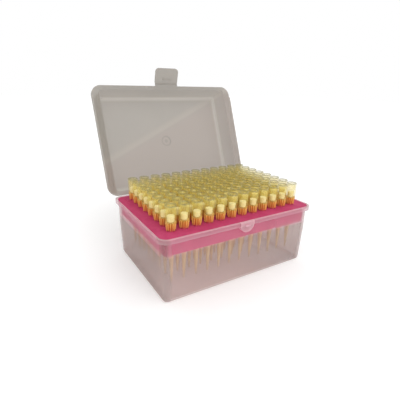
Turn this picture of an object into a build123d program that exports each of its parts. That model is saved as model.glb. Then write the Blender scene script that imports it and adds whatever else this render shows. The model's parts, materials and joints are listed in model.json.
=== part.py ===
from build123d import *
import os
from math import cos, pi, radians, sin

# Box of filter pipette tips, in millimetres.
# The origin is the middle of the box's underside. +X runs along the box, +Y to the hinge, +Z up.
# The lid and its latch are drawn shut and then turned open, which is how the box is stored here.

# Rim of the box
rim_length = 123.2
rim_width = 86.5
rim_corner = 6.5
rim_overhang = 2.2
rim_thickness = 3.0
lip_width = 1.3

# Box
wall = 1.2
base_height = 45.0
bend_height = 26.6
base_draft = 2.6
floor_thickness = 1.5
base_edge = 2.4

# Lid, whose flange is as wide as the rim and reaches past both its ends
flange_reach = 2.6
flange_corner = 8.0
flange_thickness = 2.0
flange_lip_width = 1.2
flange_lip_drop = 1.2
flange_lip_setback = 10.25
lid_draft = 2.3
lid_edge = 2.6
panel_thickness = 1.4
lid_headroom = 2.2
open_angle = 111.3
gate_diameter = 8.4
gate_depth = 0.4

# Tips and filters, eight rows by twelve columns
columns = 12
rows = 8
pitch = 9.0
round_sides = 6
tip_rise = 16.3
tip_length = 51.8
hub_radius = 3.55
hub_seat_radius = 3.4
hub_bore_radius = 2.75
shaft_radius = 2.75
tip_end_radius = 0.5
tip_end_bore = 0.25
filter_below_mouth = 6.7
filter_height = 3.8

# Rack
deck_thickness = 1.6
skirt_height = 11.0
skirt_wall = 1.2
stiffener_height = 5.0
stiffener_wall = 1.0
marker_length = 8.0
marker_width = 1.2
marker_height = 0.5
marker_from_side = 3.2
marker_from_back = 4.5

# Ribs inside the long walls, which centre the rack's skirt
rib_width = 1.0
rib_from_end = 11.6
rib_depth = 0.6

# Hinge: pins between ears on the box, open clips on the lid
hinge_spread = 68.0
hinge_setback = 0.25
pin_radius = 1.0
knuckle_radius = 2.1
clip_width = 9.0
clip_mouth = 1.7
ear_width = 2.0
ear_drop = 7.0
stop_length = 3.2

# Latch: a tab on the lid's front edge, and a catch on the box
tab_width = 20.7
tab_length = 12.8
tab_thickness = 1.2
tab_corner = 3.0
fold_setback = 1.65
fold_gap = 0.7
web_thickness = 0.3
web_length = 0.7
tab_rest_fold = 35.0
bar_from_fold = 4.2
bar_height = 1.2
bar_depth = 0.9
bar_width = 8.0
cheek_height = 0.7
cheek_width = 1.0
boss_width = 11.4
boss_drop = 7.4
boss_border = 1.0
boss_recess = 0.4
nub_width = 3.6
nub_height = 1.2
nub_depth = 0.9

# Clearances
rest_gap = 0.3
side_gap = 0.3
rack_gap = 0.3
hole_gap = 0.25
pin_gap = 0.05
filter_gap = 0.05

# Places that follow from the sizes above
wall_length = rim_length - 2 * rim_overhang
wall_width = rim_width - 2 * rim_overhang
wall_corner = rim_corner - rim_overhang
inner_length = wall_length - 2 * wall
inner_width = wall_width - 2 * wall
inner_corner = wall_corner - wall
deck_top = base_height
deck_low = deck_top - deck_thickness
seat_length = rim_length - 2 * lip_width
seat_width = rim_width - lip_width - rim_overhang
seat_corner = rim_corner - lip_width
seat_middle = (lip_width - rim_overhang) / 2
skirt_bottom = deck_low - skirt_height
stiffener_spread = 3 * pitch
skirt_length = inner_length - 2 * (rib_depth + rack_gap)
skirt_width = inner_width - 2 * (rib_depth + rack_gap)
tip_top = deck_top + tip_rise
tip_bottom = tip_top - tip_length
flange_length = rim_length + 2 * flange_reach
flange_lip_length = rim_width - 2 * flange_lip_setback
lid_bottom = base_height + rest_gap
lid_inside = tip_top + lid_headroom
lid_top = lid_inside + panel_thickness
hinge_y = rim_width / 2 + hinge_setback
hinge_z = base_height
hinge_axis = Axis((0, hinge_y, hinge_z), (1, 0, 0))
fold_y = -rim_width / 2 - fold_setback
fold_z = lid_bottom + web_thickness / 2
fold_axis = Axis((0, fold_y, fold_z), (1, 0, 0))
hinge_places = [-hinge_spread / 2, hinge_spread / 2]


def plan(length, width, corner, height):
    return Pos(0, 0, height) * RectangleRounded(length, width, corner)


def block(x0, x1, y0, y1, z0, z1):
    size = Box(x1 - x0, y1 - y0, z1 - z0)
    return Pos((x0 + x1) / 2, (y0 + y1) / 2, (z0 + z1) / 2) * size


def drafted(length, width, corner, draft, full_z, narrow_z):
    """A rounded block that narrows on every side from full_z to narrow_z."""
    full = plan(length, width, corner, full_z)
    return extrude(full, narrow_z - full_z, taper=draft)


def tub(length, width, corner, low):
    """The box's form: upright above the bend, and narrowing below it."""
    lower = drafted(length, width, corner, base_draft, bend_height, low)
    return lower + extrude(plan(length, width, corner, bend_height), base_height - bend_height)


def cover(length, width, corner, high):
    """The lid's form, which narrows towards its panel."""
    return drafted(length, width, corner, lid_draft, lid_bottom, high)


def along_x(profile, start, width):
    """A profile drawn as (y, z), pulled along X from start."""
    return extrude(Plane.YZ.offset(start) * profile, width)


def rod(radius, middle_x, width):
    circle = Pos(hinge_y, hinge_z) * Circle(radius)
    return along_x(circle, middle_x - width / 2, width)


# Box

def locating_rib(side_x, side_y):
    face = side_y * inner_width / 2
    middle = side_x * (wall_length / 2 - rib_from_end)
    half = rib_width / 2
    edges = sorted([face + side_y * wall, face - side_y * rib_depth])
    return block(middle - half, middle + half, *edges, floor_thickness / 2, deck_low - rest_gap)


def rim():
    return extrude(plan(rim_length, rim_width, rim_corner, base_height), -rim_thickness)


def seat():
    """The step inside the rim's lip, which the rack's deck drops into and rests on."""
    return extrude(Pos(0, seat_middle) * plan(seat_length, seat_width, seat_corner, deck_low), deck_thickness)


def ear(left):
    """One hinge ear: a round head, a stop face that the open lid leans on, and a gusset to the wall."""
    out = radians(open_angle)
    along = Vector(-cos(out), sin(out))
    across = Vector(sin(out), cos(out))
    wall_y = -hinge_setback - rim_overhang
    stop = rim_overhang + hinge_setback - rest_gap
    near = along * stop
    far = near + across * stop_length
    outline = Polyline(
        (near.X, near.Y),
        (far.X, far.Y),
        (far.X, far.Y - knuckle_radius),
        (wall_y, -ear_drop),
        (wall_y, -rim_thickness / 2),
        (near.X, near.Y),
    )
    profile = make_face(outline) + Circle(knuckle_radius)
    return along_x(Pos(hinge_y, hinge_z) * profile, left, ear_width)


def hinge_mount(middle):
    """Two ears with a pin between them, in a notch of the rim."""
    reach = clip_width / 2 + side_gap
    pin = rod(pin_radius, middle, 2 * reach + ear_width)
    return ear(middle - reach - ear_width) + ear(middle + reach) + pin


def clip_notch(middle, low, high, half_width):
    far = hinge_y + knuckle_radius
    return block(middle - half_width, middle + half_width, wall_width / 2, far, low, high)


def catch():
    """The boss under the front rim, with the nub that the latch hooks under."""
    radius = boss_width / 2
    centre_z = base_height - boss_drop + radius
    straight = base_height - centre_z
    front = fold_y + web_thickness / 2 + bar_depth + rest_gap
    depth = -wall_width / 2 - front + wall / 2
    face = Plane.XZ.offset(-front) * Pos(0, centre_z)
    half_round = Circle(radius) & Pos(0, -radius) * Rectangle(boss_width, boss_width)
    outline = half_round + Pos(0, straight / 2) * Rectangle(boss_width, straight)
    boss = extrude(face * outline, -depth)
    boss = boss - extrude(face * offset(outline, -boss_border), -boss_recess)
    half = nub_width / 2
    nub_low = fold_z - bar_from_fold + rest_gap
    nub = block(-half, half, front - nub_depth, front + boss_recess, nub_low, nub_low + nub_height)
    return boss + nub


def make_base_box():
    outside = tub(wall_length, wall_width, wall_corner, 0)
    outside = fillet(outside.faces().sort_by(Axis.Z)[0].edges(), base_edge)
    inside = tub(inner_length, inner_width, inner_corner, floor_thickness)
    ribs = [locating_rib(x, y) & outside for x in (-1, 1) for y in (-1, 1)]
    shell = outside + rim()
    half_notch = clip_width / 2 + side_gap
    for middle in hinge_places:
        shell = shell - clip_notch(middle, base_height - ear_drop, base_height, half_notch)
        shell = shell + hinge_mount(middle)
    return shell + catch() - inside - seat() + ribs


# Lid

def clip(middle):
    """An open clip that snaps over a hinge pin."""
    barrel = rod(knuckle_radius, middle, clip_width)
    bore = rod(pin_radius + pin_gap, middle, clip_width)
    mouth = block(
        middle - clip_width / 2, middle + clip_width / 2,
        hinge_y - clip_mouth / 2, hinge_y + clip_mouth / 2,
        hinge_z - knuckle_radius, hinge_z,
    )
    return barrel, bore + mouth


def flange():
    """A flange the width of the rim, with a short lip under each end that closes past the rim's ends."""
    end = flange_length / 2
    half = flange_lip_length / 2
    low = lid_bottom - flange_lip_drop
    lip = block(end - flange_lip_width, end, -half, half, low, lid_bottom)
    plate = extrude(plan(flange_length, rim_width, flange_corner, lid_bottom), flange_thickness)
    return plate + lip + mirror(lip, Plane.YZ)


def make_lid():
    outside = cover(wall_length, wall_width, wall_corner, lid_top)
    outside = fillet(outside.faces().sort_by(Axis.Z)[-1].edges(), lid_edge)
    inside = cover(inner_length, inner_width, inner_corner, lid_inside)
    shell = outside + flange()
    ear_offset = clip_width / 2 + side_gap + ear_width / 2
    half_notch = ear_width / 2 + side_gap
    for middle in hinge_places:
        for side in (-1, 1):
            notch_x = middle + side * ear_offset
            shell = shell - clip_notch(notch_x, lid_bottom, lid_bottom + flange_thickness, half_notch)
        barrel, opening = clip(middle)
        shell = shell + barrel - opening
    web_end = fold_y + fold_gap / 2
    half = tab_width / 2
    web = block(-half, half, web_end, -rim_width / 2, lid_bottom, lid_bottom + web_thickness)
    gate = Pos(0, 0, lid_inside) * extrude(Circle(gate_diameter / 2), gate_depth)
    return shell + web - inside - gate


# Latch

def make_latch_tab():
    """The tab lies flat with the rim here, and is folded down in its place on the lid."""
    start = fold_y - fold_gap / 2
    half = tab_width / 2
    body_start = start - web_length
    end = fold_y - tab_length
    web = block(-half, half, body_start, start, lid_bottom, lid_bottom + web_thickness)
    body = block(-half, half, end, body_start, lid_bottom, lid_bottom + tab_thickness)
    body = fillet(body.edges().filter_by(Axis.Z).sort_by(Axis.Y)[:2], tab_corner)
    bar_y = fold_y - bar_from_fold
    low = lid_bottom - bar_depth
    bar = block(-bar_width / 2, bar_width / 2, bar_y - bar_height, bar_y, low, lid_bottom)
    cheek = block(-cheek_width / 2, cheek_width / 2, bar_y, bar_y + cheek_height, low, lid_bottom)
    cheek_x = (bar_width - cheek_width) / 2
    tab = web + body + bar + [Pos(x) * cheek for x in (-cheek_x, cheek_x)]
    return tab.rotate(fold_axis, tab_rest_fold)


# Rack, tips and filters

def tip_place(column, row):
    return Pos((column - (columns - 1) / 2) * pitch, (row - (rows - 1) / 2) * pitch, 0)


def ring(radius, height):
    return Pos(0, 0, height) * RegularPolygon(radius, round_sides, rotation=180 / round_sides)


def corners(radius, height):
    turns = [2 * pi * (side + 0.5) / round_sides for side in range(round_sides)]
    return [Vector(radius * cos(turn), radius * sin(turn), height) for turn in turns]


def spike(wide, narrow, high, low):
    """A many-sided form that narrows downwards, closed from flat faces."""
    upper = corners(wide, high)
    lower = corners(narrow, low)
    sides = [[upper[i - 1], upper[i], lower[i], lower[i - 1]] for i in range(round_sides)]
    outlines = [*sides, upper, lower]
    return Solid(Shell([Face(Wire.make_polygon(outline)) for outline in outlines]))


def bore_radius(height):
    share = (height - tip_bottom) / tip_length
    return tip_end_bore + share * (hub_bore_radius - tip_end_bore)


def make_tip():
    hub = spike(hub_radius, hub_seat_radius, tip_top, deck_top)
    shaft = spike(shaft_radius, tip_end_radius, deck_top, tip_bottom)
    bore = spike(hub_bore_radius, tip_end_bore, tip_top, tip_bottom)
    return hub + shaft - bore


def make_filter():
    high = tip_top - filter_below_mouth
    low = high - filter_height
    return spike(bore_radius(high) - filter_gap, bore_radius(low) - filter_gap, high, low)


def make_skirt():
    """The wall under the deck, and the stiffeners that cross it between the rows of holes."""
    corner = inner_corner - rib_depth - rack_gap
    outer = RectangleRounded(skirt_length, skirt_width, corner)
    skirt = extrude(Pos(0, 0, skirt_bottom) * (outer - offset(outer, -skirt_wall)), skirt_height)
    low = deck_low - stiffener_height
    half_wall = stiffener_wall / 2
    half_length = (skirt_length - skirt_wall) / 2
    half_width = (skirt_width - skirt_wall) / 2
    lengthways = block(-half_length, half_length, -half_wall, half_wall, low, deck_low)
    crossing = block(-half_wall, half_wall, -half_width, half_width, low, deck_low)
    places = [-stiffener_spread, 0, stiffener_spread]
    return skirt + lengthways + [Pos(x) * crossing for x in places]


def make_marker():
    """The raised bar on the deck that shows which way round the rack goes."""
    middle = -inner_length / 2 + marker_from_side
    back = inner_width / 2 - marker_from_back
    half = marker_width / 2
    return block(middle - half, middle + half, back - marker_length, back, deck_top, deck_top + marker_height)


def make_rack():
    deck_length = seat_length - 2 * rack_gap
    deck_width = seat_width - 2 * rack_gap
    outline = Pos(0, seat_middle) * plan(deck_length, deck_width, seat_corner - rack_gap, deck_low)
    deck = extrude(outline, deck_thickness)
    hole = extrude(ring(shaft_radius + hole_gap, deck_low), deck_thickness)
    holes = [tip_place(column, row) * hole for column in range(columns) for row in range(rows)]
    return deck + make_skirt() + make_marker() - holes


def column_of(piece, column):
    return Compound([tip_place(column, row) * piece for row in range(rows)])


def main():
    nodes = {
        "base_box": make_base_box(),
        "tip_rack": make_rack(),
        "lid": make_lid().rotate(hinge_axis, -open_angle),
        "latch_tab": make_latch_tab().rotate(hinge_axis, -open_angle),
    }
    tip = make_tip()
    plug = make_filter()
    for column in range(columns):
        nodes[f"tips_column_{column + 1:02d}"] = column_of(tip, column)
        nodes[f"filters_column_{column + 1:02d}"] = column_of(plug, column)
    os.makedirs("parts", exist_ok=True)
    for name, shape in nodes.items():
        export_step(shape, f"parts/{name}.step")


main()
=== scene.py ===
import math
import bpy
from mathutils import Matrix, Vector
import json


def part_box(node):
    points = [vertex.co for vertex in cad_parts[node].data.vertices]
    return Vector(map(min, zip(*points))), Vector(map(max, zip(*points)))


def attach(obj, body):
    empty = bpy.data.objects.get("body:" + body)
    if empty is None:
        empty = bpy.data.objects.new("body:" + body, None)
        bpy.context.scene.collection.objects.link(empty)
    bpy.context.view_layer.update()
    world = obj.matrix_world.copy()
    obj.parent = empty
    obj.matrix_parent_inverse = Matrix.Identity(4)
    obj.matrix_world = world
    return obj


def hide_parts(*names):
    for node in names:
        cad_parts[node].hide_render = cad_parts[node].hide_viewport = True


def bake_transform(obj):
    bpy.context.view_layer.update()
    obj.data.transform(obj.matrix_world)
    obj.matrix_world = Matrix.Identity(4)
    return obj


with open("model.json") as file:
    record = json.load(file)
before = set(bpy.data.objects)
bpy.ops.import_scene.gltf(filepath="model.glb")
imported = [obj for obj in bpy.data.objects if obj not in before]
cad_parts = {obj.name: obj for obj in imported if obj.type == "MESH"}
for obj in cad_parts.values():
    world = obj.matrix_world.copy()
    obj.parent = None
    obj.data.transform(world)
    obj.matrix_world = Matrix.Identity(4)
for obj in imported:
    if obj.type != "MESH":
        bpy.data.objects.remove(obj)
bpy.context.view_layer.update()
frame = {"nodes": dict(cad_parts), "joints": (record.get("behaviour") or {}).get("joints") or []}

print("frame loaded:", len(frame["nodes"]), "nodes")

mm = 0.001
nodes = frame["nodes"]
joints = {joint["name"]: joint for joint in frame["joints"]}
tipColumns = sorted(name for name in nodes if name.startswith("tips_column"))
filterColumns = sorted(name for name in nodes if name.startswith("filters_column"))
hinge = Vector(joints["lid_hinge"]["pos_m"])
fold = Vector(joints["latch_fold"]["pos_m"])
openAngle = math.radians(joints["lid_hinge"]["range_deg"][1])

mouldSizes = {  # sizes on the mouldings that their boxes don't give
    "marker": 0.5 * mm,  # the rack's markers stand this far above its deck
    "rimDepth": 3.0 * mm,
    "catchDepth": 2.9 * mm,  # from the front of the catch back to just before the wall
    "lidInside": Vector((57.3, 39.0, 63.5)) * mm,  # the far corner inside the lid when it is shut
}
rackLow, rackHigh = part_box("tip_rack")
skirtLow = rackLow.z
deckTop = rackHigh.z - mouldSizes["marker"]  # the rim's top is level with it
rimLow = deckTop - mouldSizes["rimDepth"]
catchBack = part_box("base_box")[0].y + mouldSizes["catchDepth"]
lidInside = mouldSizes["lidInside"]


class Wire:  # an output socket that takes Python arithmetic
    def __init__(self, finish, socket):
        self.finish = finish
        self.socket = socket

    def reckon(self, operation, *values):
        return self.finish.node("ShaderNodeMath", {"operation": operation}, dict(enumerate(values)))

    def larger(self, other):
        return self.reckon("MAXIMUM", self, other)

    def __abs__(self):
        return self.reckon("ABSOLUTE", self)

    def __add__(self, other):
        return self.reckon("ADD", self, other)

    def __radd__(self, other):
        return self.reckon("ADD", other, self)

    def __sub__(self, other):
        return self.reckon("SUBTRACT", self, other)

    def __rsub__(self, other):
        return self.reckon("SUBTRACT", other, self)

    def __mul__(self, other):
        return self.reckon("MULTIPLY", self, other)

    def __rmul__(self, other):
        return self.reckon("MULTIPLY", other, self)

    def __truediv__(self, other):
        return self.reckon("DIVIDE", self, other)

    def __rtruediv__(self, other):
        return self.reckon("DIVIDE", other, self)


class Finish:  # one material, or the world, and its nodes
    def __init__(self, owner):
        named = isinstance(owner, str)
        self.material = bpy.data.materials.new(owner) if named else owner
        self.material.use_nodes = True
        self.tree = self.material.node_tree
        self.tree.nodes.clear()
        self.output = self.tree.nodes.new("ShaderNodeOutputMaterial" if named else "ShaderNodeOutputWorld")

    def node(self, kind, settings=None, inputs=None, out=0):
        made = self.tree.nodes.new(kind)
        for key, value in (settings or {}).items():
            if key == "stops":
                self.setStops(made, value)
            else:
                setattr(made, key, value)
        for key, value in (inputs or {}).items():
            if isinstance(value, Wire):
                self.tree.links.new(value.socket, made.inputs[key])
            else:
                made.inputs[key].default_value = value
        return Wire(self, made.outputs[out])

    def setStops(self, ramp, stops):
        elements = ramp.color_ramp.elements
        while len(elements) < len(stops):
            elements.new(0.5)  # it gets its own place below
        for element, (place, colour) in zip(elements, stops):
            element.position = place
            element.color = colour

    def second(self, wire, name):  # another output of the same node
        return Wire(self, wire.socket.node.outputs[name])

    def place(self):
        return self.node("ShaderNodeTexCoord", out="Object")

    def along(self, axis, place=None):  # metres from the origin along one axis
        return self.node("ShaderNodeSeparateXYZ", None, {"Vector": place or self.place()}, out=axis)

    def noise(self, size, detail=2.0, rough=0.55):
        values = {"Vector": self.place(), "Scale": 1 / size, "Detail": detail, "Roughness": rough}
        return self.node("ShaderNodeTexNoise", None, values)

    def seen(self):  # 1 where the camera, a reflection or a clear piece looks at this surface
        camera = self.node("ShaderNodeLightPath", out="Is Camera Ray")
        glossy = self.second(camera, "Is Glossy Ray")
        return camera.larger(glossy).larger(self.second(camera, "Is Transmission Ray"))

    def band(self, value, stretch, start=0):  # 0 to 1 over the stretch, which counts from start
        settings = {"interpolation_type": "SMOOTHSTEP"}
        low, high = stretch
        values = {"Value": value, "From Min": start + low, "From Max": start + high}
        return self.node("ShaderNodeMapRange", settings, values)

    def blend(self, factor, first, second):  # two colours
        settings = {"data_type": "RGBA", "clamp_factor": True}
        return self.node("ShaderNodeMix", settings, {0: factor, 6: first, 7: second}, out=2)

    def mix(self, factor, first, second):  # two shaders
        return self.node("ShaderNodeMixShader", None, {0: factor, 1: first, 2: second})

    def bump(self, height, strength, distance):
        values = {"Height": height, "Strength": strength, "Distance": distance}
        return self.node("ShaderNodeBump", None, values)

    def surface(self, values):
        return self.node("ShaderNodeBsdfPrincipled", None, values)

    def through(self, colour):  # light that comes through from the far side
        return self.node("ShaderNodeBsdfTranslucent", None, {"Color": colour})

    def clear(self, colour):
        return self.node("ShaderNodeBsdfTransparent", None, {"Color": colour})

    def close(self, shader):
        self.tree.links.new(shader.socket, self.output.inputs["Surface"])
        return self.material


def rgb(red, green, blue):
    return (red, green, blue, 1.0)


white = rgb(1, 1, 1)
frosted = {
    "cloudSize": 30 * mm,
    "cloudDetail": 3.0,
    "cloudBand": (0.35, 0.65),
    "grainSize": 0.35 * mm,
    "grainStrength": 0.25,
    "grainDepth": 0.01 * mm,
    "roughness": 0.30,
    "glow": 0.65,
}


def frostedPlastic(name, haze, zones):  # clear, matt and translucent plastic in one
    finish = Finish(name)
    cloud = finish.noise(frosted["cloudSize"], frosted["cloudDetail"])
    colour = finish.blend(finish.band(cloud, frosted["cloudBand"]), haze["tint"], haze["cloud"])
    grain = finish.noise(frosted["grainSize"])
    colour, solid, glow = zones(finish, colour)
    surface = finish.surface({
        "Base Color": colour,
        "Roughness": frosted["roughness"],
        "Normal": finish.bump(grain, frosted["grainStrength"], frosted["grainDepth"]),
    })
    milky = finish.mix(frosted["glow"], surface, glow)
    return finish.close(finish.mix(solid, finish.clear(white), milky))


boxHaze = {
    "tint": rgb(0.61, 0.42, 0.395),
    "cloud": rgb(0.67, 0.46, 0.43),
    "lit": rgb(0.63, 0.49, 0.465),
    # pink translucent colour over the rack's skirt: painted pink light from the skirt behind the wall
    "litByRack": rgb(0.88, 0.61, 0.68),
    "tones": {
        # pink at the foot: a painted pink reflection
        "footReflection": rgb(0.84, 0.60, 0.58),
        # greyer tone: painted shade towards one end and at both ends
        "shadedEnd": rgb(0.54, 0.485, 0.475),
        # pink over the rack's skirt: painted light from the skirt behind the wall
        "byRack": rgb(1.0, 0.72, 0.79),
        "rim": rgb(0.90, 0.68, 0.74),
        "catch": rgb(0.95, 0.80, 0.83),
        # whiter along the rim's top: a painted highlight
        "crest": rgb(0.88, 0.74, 0.77),
    },
    "solid": 0.26,
    "extra": {"footReflection": 0.06, "shadedEnd": 0.07, "ends": 0.12, "rim": 0.16, "catch": 0.49, "crest": 0.28},
}
boxPlaces = {  # where each zone starts and where it is full
    "besideRack": (-6 * mm, -3 * mm),  # out from the skirt's faces
    "byRack": (-1.0 * mm, 0.5 * mm),  # up from the skirt's lower edge
    "rim": (-0.3 * mm, 0),  # up from the rim's lower edge
    "crest": (-0.45 * mm, -0.2 * mm),  # up from the rim's top
    "catchSide": (5.7 * mm, 5.5 * mm),  # from the middle of the box
    "catchBack": (0.1 * mm, 0),  # back from the catch
    "shadedEnd": (-15 * mm, 60 * mm),  # along the box
    "ends": (52 * mm, 56 * mm),  # from the middle of the box
    "footReflection": (28 * mm, 0),  # up from the table
}


def boxZones(finish, colour):
    # pinker beside the rack's skirt, painted light from the skirt behind the wall, and at the foot, a
    # painted pink reflection;
    # greyer to one end, painted shade, and greyer and milkier at both ends, the greyness painted shade;
    # whiter where the rim and the catch are thick, and along the rim's top a painted highlight
    across, depth, height = [finish.along(axis) for axis in "XYZ"]
    besideRack = finish.band(abs(across), boxPlaces["besideRack"], rackHigh.x)
    besideRack = besideRack * finish.band(abs(depth), boxPlaces["besideRack"], rackHigh.y)
    # pinker from the skirt's lower edge up: painted light from the rack's skirt behind the wall
    byRack = finish.band(height, boxPlaces["byRack"], skirtLow) * (1 - besideRack)
    rim = finish.band(height, boxPlaces["rim"], rimLow)
    # whiter along the rim's top: a painted highlight
    crest = finish.band(height, boxPlaces["crest"], deckTop)
    catch = byRack * finish.band(abs(across), boxPlaces["catchSide"])
    catch = catch * finish.band(depth, boxPlaces["catchBack"], catchBack)
    # greyer and more solid towards one end: painted shade
    shadedEnd = finish.band(across, boxPlaces["shadedEnd"])
    # greyer and milkier at both ends; the greyness is painted shade
    ends = finish.band(abs(across), boxPlaces["ends"])
    # pinker towards the table: a painted pink reflection
    footReflection = finish.band(height, boxPlaces["footReflection"])

    tones = {"footReflection": footReflection, "shadedEnd": shadedEnd.larger(ends), "byRack": byRack,
             "rim": rim, "catch": catch, "crest": crest}
    for zone, mask in tones.items():
        colour = finish.blend(mask, colour, boxHaze["tones"][zone])
    extra = {"shadedEnd": shadedEnd, "ends": ends * (1 - rim), "footReflection": footReflection,
             "rim": rim, "catch": catch, "crest": crest}
    solid = boxHaze["solid"]
    for zone, mask in extra.items():
        solid = mask * boxHaze["extra"][zone] + solid
    # over the rack's skirt the translucent light is painted pink
    glow = finish.mix(byRack, finish.through(boxHaze["lit"]), finish.through(boxHaze["litByRack"]))
    return colour, solid, glow


lidHaze = {
    "tint": rgb(0.405, 0.380, 0.337),
    "cloud": rgb(0.435, 0.403, 0.358),
    "lit": rgb(0.505, 0.467, 0.422),
    # pinker on one side of a diagonal: a painted pink reflection of the deck
    "warmReflection": rgb(0.465, 0.378, 0.335),
    # a faint diagonal streak: a painted reflection
    "reflectionStreak": rgb(0.60, 0.52, 0.45),
    "streakShare": 0.7,
    "gate": rgb(0.20, 0.185, 0.165),
    "gateShare": 0.6,
    # lighter along the inside corners: a painted highlight
    "corner": rgb(0.78, 0.73, 0.66),
    "solid": 0.68,
}
lidPlaces = {  # on the shut lid
    "corner": (-3.5 * mm, -0.6 * mm),  # out towards the inside corners
    "slope": (-0.415, -0.91),  # the way that the next three count, along and across the lid
    "warmReflection": (14 * mm, 4 * mm),
    "streakStart": (8 * mm, 10.5 * mm),
    "streakEnd": (16 * mm, 11 * mm),
    "ringStart": (3.0 * mm, 3.9 * mm),  # out from the middle of the panel
    "ringEnd": (5.1 * mm, 4.4 * mm),
    "stub": (2.0 * mm, 1.2 * mm),
}


def lidZones(finish, colour):
    # lighter along the inside corners, a painted highlight; a painted pink reflection of the deck over one
    # side of a diagonal, a faint streak of painted reflection along it, and the mark of the moulding gate in
    # the middle of the panel
    turn = Matrix.Rotation(openAngle, 3, "X")
    values = {"Vector": finish.place(), "Location": hinge - turn @ hinge, "Rotation": (openAngle, 0, 0)}
    shut = finish.node("ShaderNodeMapping", None, values)
    across, depth, height = [finish.along(axis, shut) for axis in "XYZ"]
    slope = across * lidPlaces["slope"][0] + depth * lidPlaces["slope"][1]
    # a diagonal streak of painted reflection
    reflectionStreak = finish.band(slope, lidPlaces["streakStart"]) * finish.band(slope, lidPlaces["streakEnd"])
    spread = across.reckon("SQRT", across * across + depth * depth)
    ring = finish.band(spread, lidPlaces["ringStart"]) * finish.band(spread, lidPlaces["ringEnd"])
    gate = ring.larger(finish.band(spread, lidPlaces["stub"]))
    # near the inside corners, where the highlight is painted
    byEnd = finish.band(abs(across), lidPlaces["corner"], lidInside.x)
    bySide = finish.band(abs(depth), lidPlaces["corner"], lidInside.y)
    byPanel = finish.band(height, lidPlaces["corner"], lidInside.z)

    tones = {
        # pinker on one side of the diagonal: a painted pink reflection of the deck
        "warmReflection": finish.band(slope, lidPlaces["warmReflection"]),
        "reflectionStreak": reflectionStreak * lidHaze["streakShare"],
        "gate": gate * lidHaze["gateShare"],
        "corner": byPanel * byEnd.larger(bySide),
    }
    for zone, mask in tones.items():
        colour = finish.blend(mask, colour, lidHaze[zone])
    return colour, lidHaze["solid"], finish.through(lidHaze["lit"])


rackFinish = {
    "pink": rgb(0.50, 0.050, 0.145),
    "light": rgb(0.56, 0.070, 0.175),
    "mottleSize": 6 * mm,
    "mottleDetail": 3.0,
    "mottleBand": (0.3, 0.7),
    "grainSize": 0.25 * mm,
    "grainStrength": 0.3,
    "grainDepth": 0.02 * mm,
    "roughness": 0.50,
    "gloss": 0.06,
}


def rackPlastic():
    finish = Finish("raspberryPlastic")
    mottle = finish.noise(rackFinish["mottleSize"], rackFinish["mottleDetail"])
    mottle = finish.band(mottle, rackFinish["mottleBand"])
    grain = finish.noise(rackFinish["grainSize"])
    return finish.close(finish.surface({
        "Base Color": finish.blend(mottle, rackFinish["pink"], rackFinish["light"]),
        "Roughness": rackFinish["roughness"],
        "Specular IOR Level": rackFinish["gloss"],
        "Normal": finish.bump(grain, rackFinish["grainStrength"], rackFinish["grainDepth"]),
    }))


tipFinish = {  # height above the table in mm, colour, and how solid the wall is there
    "bands": [
        (9.0, (0.96, 0.80, 0.58), 0.40),
        (16.0, (0.98, 0.80, 0.50), 0.80),
        (42.0, (0.96, 0.74, 0.38), 0.90),
        # pink just above the deck and orange at the collar, reddening towards the deck: the yellow plastic
        # with a painted reflection of the pink deck
        (45.2, (0.74, 0.08, 0.15), 0.75),
        (46.6, (0.76, 0.20, 0.06), 0.60),
        (50.2, (0.86, 0.36, 0.05), 0.60),
        (50.9, (0.98, 0.78, 0.22), 0.16),
        (55.0, (1.0, 0.84, 0.22), 0.15),
        (60.0, (1.0, 0.84, 0.24), 0.15),
        # dark olive at the mouth: painted shade along its rim
        (60.7, (0.44, 0.42, 0.19), 0.29),
        (61.3, (0.33, 0.33, 0.18), 0.44),
    ],
    "finBands": [
        # orange fins, reddening towards the deck: the yellow plastic with a painted reflection of the pink
        # deck
        (45.0, (0.90, 0.36, 0.18), 0.65),
        (46.4, (0.98, 0.54, 0.15), 0.88),
        (50.0, (1.0, 0.64, 0.20), 0.85),
        (52.0, (0.92, 0.72, 0.30), 0.10),
    ],
    "roughness": 0.14,
    "edge": rgb(0.42, 0.38, 0.12),  # darker where the wall is seen edge on
    "edgeBlend": 0.35,
    "edgeSolid": 0.44,
    "tinge": rgb(0.975, 0.97, 0.925),
}


def tipPlastic(name, bands):
    finish = Finish(name)
    low, high = bands[0][0] * mm, bands[-1][0] * mm
    share = (finish.along("Z") - low) / (high - low)
    stops = [((place * mm - low) / (high - low), (*colour, solid)) for place, colour, solid in bands]
    colour = finish.node("ShaderNodeValToRGB", {"stops": stops}, {"Fac": share})
    solid = finish.second(colour, "Alpha")
    facing = finish.node("ShaderNodeLayerWeight", None, {"Blend": tipFinish["edgeBlend"]}, out="Facing")
    edge = facing * facing * (1 - solid)
    shader = finish.surface({
        "Base Color": finish.blend(edge, colour, tipFinish["edge"]),
        "Roughness": tipFinish["roughness"],
    })
    solid = solid + edge * tipFinish["edgeSolid"]
    return finish.close(finish.mix(solid, finish.clear(tipFinish["tinge"]), shader))


filterFinish = {
    "cream": rgb(1.0, 0.97, 0.76),
    "shade": rgb(1.0, 0.93, 0.64),
    "poreSize": 0.3 * mm,
    "poreDetail": 3.0,
    "poreBand": (0.3, 0.7),
    "poreStrength": 0.6,
    "poreDepth": 0.05 * mm,
    "roughness": 0.9,
}


def filterMedium():
    finish = Finish("porousFilter")
    pores = finish.noise(filterFinish["poreSize"], filterFinish["poreDetail"])
    cream = finish.band(pores, filterFinish["poreBand"])
    return finish.close(finish.surface({
        "Base Color": finish.blend(cream, filterFinish["shade"], filterFinish["cream"]),
        "Roughness": filterFinish["roughness"],
        "Normal": finish.bump(pores, filterFinish["poreStrength"], filterFinish["poreDepth"]),
    }))


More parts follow.
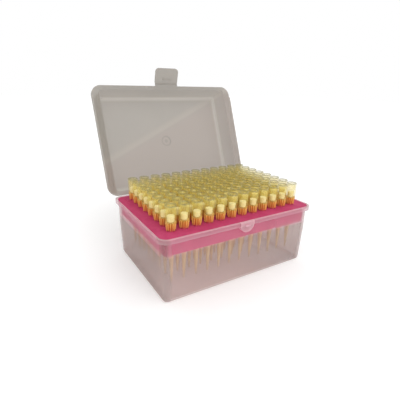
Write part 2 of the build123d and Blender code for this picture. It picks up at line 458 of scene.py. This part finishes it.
boxPlastic = frostedPlastic("frostedBox", boxHaze, boxZones)
lidPlastic = frostedPlastic("frostedLid", lidHaze, lidZones)
raspberry = rackPlastic()
clearTip = tipPlastic("clearTipPlastic", tipFinish["bands"])
finPlastic = tipPlastic("tipFinPlastic", tipFinish["finBands"])
porous = filterMedium()
print("finishes mixed:", len(bpy.data.materials))


def choose(piece):  # this object alone is selected and active
    bpy.ops.object.select_all(action="DESELECT")
    piece.select_set(True)
    bpy.context.view_layer.objects.active = piece


def pick(piece, parts, wanted):  # in edit mode, with only the wanted vertices or polygons selected
    bpy.ops.object.mode_set(mode="EDIT")
    bpy.ops.mesh.select_all(action="DESELECT")
    bpy.ops.object.mode_set(mode="OBJECT")
    for part in getattr(piece.data, parts):
        part.select = wanted(part)
    bpy.ops.object.mode_set(mode="EDIT")


def fixPlace():  # the selected object's place, turn and scale go into its mesh
    bpy.ops.object.transform_apply(location=True, rotation=True, scale=True)


def settle(piece, name, material):  # a finished piece gets its name, and a material if it has none yet
    choose(piece)
    fixPlace()
    piece.name = name
    piece.data.name = name
    if material:
        piece.data.materials.append(material)
    return piece


def applyModifier(piece, kind, **settings):
    choose(piece)
    bpy.ops.object.modifier_add(type=kind)
    modifier = piece.modifiers[-1]
    for key, value in settings.items():
        setattr(modifier, key, value)
    bpy.ops.object.modifier_apply(modifier=modifier.name)


def copyOf(piece, shift):
    choose(piece)
    bpy.ops.object.duplicate(linked=False)
    made = bpy.context.object
    made.location = shift
    return made


turnedForm = {"merge": 0.001 * mm, "sharp": math.radians(40)}


def ringPath(rings, sides):  # a turned form: one ring of edges, drawn out through (radius, height) in turn
    radius, height = rings[0]
    bpy.ops.mesh.primitive_circle_add(vertices=sides, radius=radius, location=(0, 0, height))
    piece = bpy.context.object
    bpy.ops.object.mode_set(mode="EDIT")
    bpy.ops.mesh.select_all(action="SELECT")
    for nextRadius, nextHeight in rings[1:]:
        rise = (0, 0, nextHeight - height)
        share = nextRadius / radius
        bpy.ops.mesh.extrude_region_move(TRANSFORM_OT_translate={"value": rise})
        bpy.ops.transform.resize(value=(share, share, 1), center_override=(0, 0, nextHeight))
        radius, height = nextRadius, nextHeight
    return piece


def closeRings(piece):  # the last ring meets the first, and the faces point outwards
    bpy.ops.mesh.select_all(action="SELECT")
    bpy.ops.mesh.remove_doubles(threshold=turnedForm["merge"])
    bpy.ops.mesh.normals_make_consistent(inside=False)
    bpy.ops.object.mode_set(mode="OBJECT")
    choose(piece)
    fixPlace()
    bpy.ops.object.shade_smooth_by_angle(angle=turnedForm["sharp"])


firstLow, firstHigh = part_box(tipColumns[0])
secondLow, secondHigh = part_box(tipColumns[1])
pitch = (secondLow.x + secondHigh.x - firstLow.x - firstHigh.x) / 2
tipTop = firstHigh.z
tipEnd = firstLow.z
filterLow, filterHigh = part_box(filterColumns[0])
rowCount = round((firstHigh.y - firstLow.y) / pitch)

tip = {
    "sides": 20,
    "mouthRadius": 3.55 * mm,
    "mouthEdge": 0.12 * mm,
    "sleeveRadius": 3.45 * mm,
    "sleeveBelowFilter": 0.5 * mm,
    "sleeveStep": 0.35 * mm,
    "barrelRadius": 2.80 * mm,
    "waistRadius": 2.30 * mm,
    "shaftRadius": 2.65 * mm,
    "shaftBelowDeck": 2 * mm,
    "endRadius": 0.5 * mm,
    "boreRadius": 2.75 * mm,
    "endBore": 0.25 * mm,
}
sleeveEnd = filterLow.z - tip["sleeveBelowFilter"]


def makeTip():
    rings = [
        (tip["boreRadius"], tipTop),
        (tip["mouthRadius"] - tip["mouthEdge"], tipTop),
        (tip["mouthRadius"], tipTop - tip["mouthEdge"]),
        (tip["sleeveRadius"], sleeveEnd),
        (tip["barrelRadius"], sleeveEnd - tip["sleeveStep"]),
        (tip["waistRadius"], deckTop),
        (tip["shaftRadius"], deckTop - tip["shaftBelowDeck"]),
        (tip["endRadius"], tipEnd),
        (tip["endBore"], tipEnd),
        (tip["boreRadius"], tipTop),
    ]
    piece = ringPath(rings, tip["sides"])
    closeRings(piece)
    piece.data.materials.append(clearTip)
    return piece


fin = {
    "count": 12,
    "width": 0.60 * mm,
    "crest": 0.6,  # the outer edge's width, as a share of the root's
    "reach": 3.42 * mm,
    "root": 2.2 * mm,
    "aboveSleeve": 0.35 * mm,
    "taper": 0.45 * mm,
    "point": 0.35,
    "lift": [0, 0.7 * mm, 0.2 * mm, 1.0 * mm],  # each in turn round the tip
    "facing": 0.9,  # how squarely a face looks along an axis to be picked
}


def makeFin(turn, lift):  # its lower end is drawn to a point, a little above the deck on some
    high = sleeveEnd + fin["aboveSleeve"]
    middle = (fin["reach"] + fin["root"]) / 2
    bpy.ops.mesh.primitive_cube_add(size=1, location=(middle, 0, (high + deckTop) / 2))
    piece = bpy.context.object
    piece.scale = (fin["reach"] - fin["root"], fin["width"], high - deckTop)
    fixPlace()
    pick(piece, "polygons", lambda face: face.normal.x > fin["facing"])
    bpy.ops.transform.resize(value=(1, fin["crest"], 1), center_override=(middle, 0, high))
    pick(piece, "vertices", lambda vertex: vertex.co.x > middle and vertex.co.z < high - fin["taper"])
    bpy.ops.transform.translate(value=(-fin["taper"], 0, 0))
    pick(piece, "polygons", lambda face: face.normal.z < -fin["facing"])
    bpy.ops.transform.resize(value=(1, fin["point"], 1), center_override=(middle, 0, deckTop))
    bpy.ops.transform.translate(value=(0, 0, lift))
    bpy.ops.object.mode_set(mode="OBJECT")
    piece.data.materials.append(finPlastic)
    piece.rotation_euler = (0, 0, turn)
    fixPlace()
    return piece


def ribbedTip():
    piece = makeTip()
    lifts, count = fin["lift"], fin["count"]
    fins = [makeFin(math.tau * index / count, lifts[index % len(lifts)]) for index in range(count)]
    choose(piece)
    for made in fins:
        made.select_set(True)
    bpy.ops.object.join()
    return piece


plug = {"sides": 16, "inset": 0.06 * mm, "edge": 0.15 * mm}


def plugRadius(height):  # the bore widens evenly from the tip's end to its mouth
    share = (height - tipEnd) / (tipTop - tipEnd)
    return tip["endBore"] + share * (tip["boreRadius"] - tip["endBore"]) - plug["inset"]


def makePlug():
    topRadius, lowRadius = plugRadius(filterHigh.z), plugRadius(filterLow.z)
    rings = [
        (topRadius - plug["edge"], filterHigh.z),
        (topRadius, filterHigh.z - plug["edge"]),
        (lowRadius, filterLow.z + plug["edge"]),
        (lowRadius - plug["edge"], filterLow.z),
    ]
    piece = ringPath(rings, plug["sides"])
    bpy.ops.mesh.select_all(action="SELECT")
    bpy.ops.mesh.region_to_loop()
    bpy.ops.mesh.edge_face_add()
    closeRings(piece)
    return piece


def fillColumns(pattern, nodeNames, stem, material):
    applyModifier(pattern, "ARRAY", count=rowCount, use_relative_offset=False,
                  use_constant_offset=True, constant_offset_displace=(0, pitch, 0))
    for number, nodeName in enumerate(nodeNames, 1):
        low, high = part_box(nodeName)
        shift = ((low.x + high.x) / 2, (low.y + high.y) / 2 - (rowCount - 1) * pitch / 2, 0)
        piece = settle(copyOf(pattern, shift), f"{stem}{number:02d}", material)
        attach(piece, "base")
        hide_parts(nodeName)
    bpy.data.objects.remove(pattern)


fillColumns(ribbedTip(), tipColumns, "tipColumn", None)
fillColumns(makePlug(), filterColumns, "filterColumn", porous)
print("tips and filters:", len(tipColumns) * rowCount)


latchWeb = {
    "width": 20.7 * mm,
    "thickness": 0.29 * mm,
    "waist": 0.6,
    "reach": 0.45 * mm,
    "hold": 0.3 * mm,  # from the fold to where the strip is fast on either side
    "bend": math.radians(35),
    "steps": 6,
}


def bendAlong(angle):  # which way the strip runs after it has bent so far, with the lid shut
    return Vector((0, -math.cos(angle), -math.sin(angle)))


def makeLatchWeb():  # the thin strip between the lid and its latch, modelled on the shut lid and turned open
    steps, bend, waist = latchWeb["steps"], latchWeb["bend"], latchWeb["waist"]
    turnOpen = Matrix.Translation(hinge) @ Matrix.Rotation(-openAngle, 4, "X") @ Matrix.Translation(-hinge)
    start = turnOpen.inverted() @ fold - bendAlong(0) * latchWeb["reach"]
    chord = sum(math.cos(bend * ((step + 0.5) / steps - 0.5)) for step in range(steps))
    stride = 2 * latchWeb["reach"] * math.cos(bend / 2) / chord
    narrowing = {steps // 2 - 1: waist, steps // 2: 1 / waist}  # thin at the middle step alone
    bpy.ops.mesh.primitive_plane_add(size=1, location=start, rotation=(math.pi / 2, 0, 0))
    piece = bpy.context.object
    piece.scale = (latchWeb["width"], latchWeb["thickness"], 1)
    fixPlace()
    bpy.ops.object.mode_set(mode="EDIT")
    bpy.ops.mesh.select_all(action="SELECT")
    for step in range(steps):
        middle = start + bendAlong(bend * (step + 0.5) / steps) * stride
        near = narrowing.get(step, 1)
        bpy.ops.mesh.extrude_region_move(TRANSFORM_OT_translate={"value": middle - start})
        bpy.ops.transform.rotate(value=-bend / steps, orient_axis="X", center_override=middle)
        bpy.ops.transform.resize(value=(1, near, near), center_override=middle)
        start = middle
    bpy.ops.mesh.select_all(action="SELECT")
    bpy.ops.mesh.normals_make_consistent(inside=False)
    bpy.ops.object.mode_set(mode="OBJECT")
    piece.matrix_world = turnOpen
    settle(piece, "latchWeb", lidPlastic)
    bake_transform(piece)
    return piece


web = makeLatchWeb()
print("latch web faces:", len(web.data.polygons))


mouldings = {  # the finish of each moulding, and how far its edges are rounded
    "base_box": (boxPlastic, 0.35 * mm),
    "lid": (lidPlastic, 0.35 * mm),
    "latch_tab": (lidPlastic, 0.25 * mm),
    "tip_rack": (raspberry, 0.2 * mm),
}
softEdge = {"merge": 0.002 * mm, "segments": 2, "sharp": math.radians(35), "evenWeight": 100}


def finishMoulding(piece, material, edge):
    piece.data.materials.clear()
    piece.data.materials.append(material)
    weld = piece.modifiers.new("weld", "WELD")
    weld.merge_threshold = softEdge["merge"]
    bevel = piece.modifiers.new("softEdges", "BEVEL")
    bevel.width = edge
    bevel.segments = softEdge["segments"]
    bevel.limit_method = "ANGLE"
    bevel.angle_limit = softEdge["sharp"]
    choose(piece)
    bpy.ops.object.shade_smooth()
    even = piece.modifiers.new("evenShading", "WEIGHTED_NORMAL")
    even.mode = "FACE_AREA"
    even.weight = softEdge["evenWeight"]


for name, (material, edge) in mouldings.items():
    finishMoulding(nodes[name], material, edge)
print("mouldings finished:", len(mouldings))


room = {
    "floorSize": 6.0,
    "floorColour": rgb(0.98, 0.98, 0.98),
    "floorRoughness": 0.9,
    "floorGlow": 0.12,
    "skyForLight": 0.78,
    "lampHeight": 0.5,
}


def makeFloor():
    bpy.ops.mesh.primitive_plane_add(size=room["floorSize"], location=(0, 0, 0))
    floor = bpy.context.object
    floor.name = "floor"
    finish = Finish("paleFloor")
    floor.data.materials.append(finish.close(finish.surface({
        "Base Color": room["floorColour"],
        "Roughness": room["floorRoughness"],
        "Emission Color": white,
        "Emission Strength": finish.seen() * room["floorGlow"],
    })))


def makeSky():
    world = bpy.data.worlds.new("softRoom")
    bpy.context.scene.world = world
    finish = Finish(world)
    strength = finish.seen() * (1 - room["skyForLight"]) + room["skyForLight"]
    finish.close(finish.node("ShaderNodeBackground", None, {"Color": white, "Strength": strength}))


lamps = {
    "key": {"towards": (0.20, 0.80, -0.80), "spread": 60, "power": 0.9},
    "side": {"towards": (-0.8, 0.50, -0.6), "spread": 70, "power": 0.35},
}


def makeLamps():
    for name, lamp in lamps.items():
        bpy.ops.object.light_add(type="SUN", location=(0, 0, room["lampHeight"]))
        made = bpy.context.object
        made.name = name
        made.data.angle = math.radians(lamp["spread"])
        made.data.energy = lamp["power"]
        made.rotation_euler = Vector(lamp["towards"]).to_track_quat("-Z", "Y").to_euler()


view = {  # place in metres, angles in degrees, lens and sensor in mm
    "place": (-0.12773, -0.19109, 0.12808),
    "heading": 31.63,
    "dip": 19.70,
    "roll": 1.29,
    "lens": 29.16,
    "sensor": 36,
    "nearest": 10 * mm,
}


def makeCamera():
    bpy.ops.object.camera_add()
    camera = bpy.context.object
    camera.data.lens = view["lens"]
    camera.data.sensor_width = view["sensor"]
    camera.data.clip_start = view["nearest"]
    heading = Matrix.Rotation(math.radians(-view["heading"]), 4, "Z")
    tilt = Matrix.Rotation(math.radians(90 - view["dip"]), 4, "X")
    roll = Matrix.Rotation(math.radians(view["roll"]), 4, "Z")
    camera.matrix_world = Matrix.Translation(view["place"]) @ heading @ tilt @ roll
    bpy.context.scene.camera = camera


makeFloor()
makeSky()
makeLamps()
makeCamera()
bpy.context.scene.view_settings.view_transform = "Standard"
bounces = {"max_bounces": 24, "transmission_bounces": 24, "transparent_max_bounces": 48}
for name, count in bounces.items():  # a line of sight passes many clear walls
    setattr(bpy.context.scene.cycles, name, count)
print("room, lamps and camera set")

print("scene ready")
